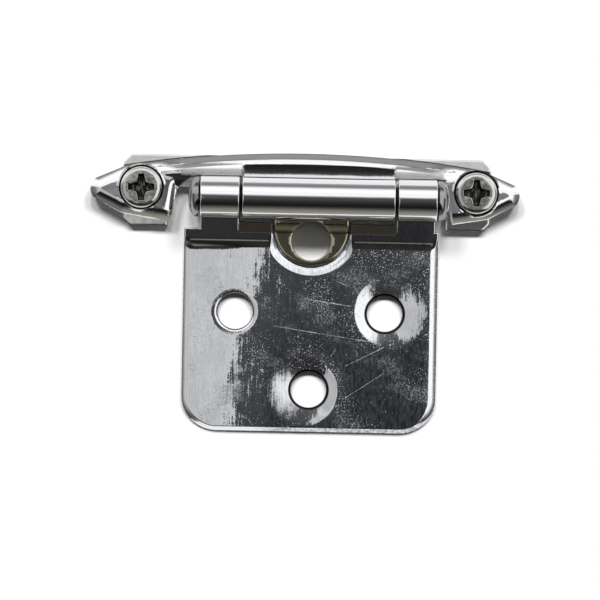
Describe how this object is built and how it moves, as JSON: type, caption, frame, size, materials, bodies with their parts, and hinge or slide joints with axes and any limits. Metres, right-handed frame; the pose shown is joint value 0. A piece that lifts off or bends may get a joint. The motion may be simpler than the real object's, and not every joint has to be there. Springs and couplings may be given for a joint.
{
  "type": "three-knuckle hinge",
  "caption": "Chrome-plated self-closing overlay cabinet hinge: pointed pressed wing with pan-head screws, barrel with a domed pin, and a flat door leaf with dished screw holes.",
  "frame": {"origin": "on the back of the base plate, below the pin and in line with the middle of the door leaf", "axes": "+X along the pin, +Y from the door leaf towards the frame wing, +Z away from the cabinet"},
  "size_m": [0.0704, 0.0457, 0.0081],
  "materials": {
    "chrome_plate": "polished",
    "screw_steel": "bright plated",
    "spring_steel": "rolled"
  },
  "bodies": {
    "frame": {"base_plate": "chrome_plate", "frame_wing": "chrome_plate", "closing_spring": "spring_steel", "wing_screw_left": "screw_steel", "wing_screw_right": "screw_steel"},
    "door": {"door_leaf": "chrome_plate", "hinge_pin": "chrome_plate"}
  },
  "joints": [
    {"name": "door_swing", "type": "hinge", "parent": "frame", "child": "door", "pos_m": [0.001, 0, 0.0047], "axis": [-1, 0, 0], "range_deg": [0, 180], "stiffness_Nm_per_rad": 0.02, "deforming": ["closing_spring"]}
  ]
}
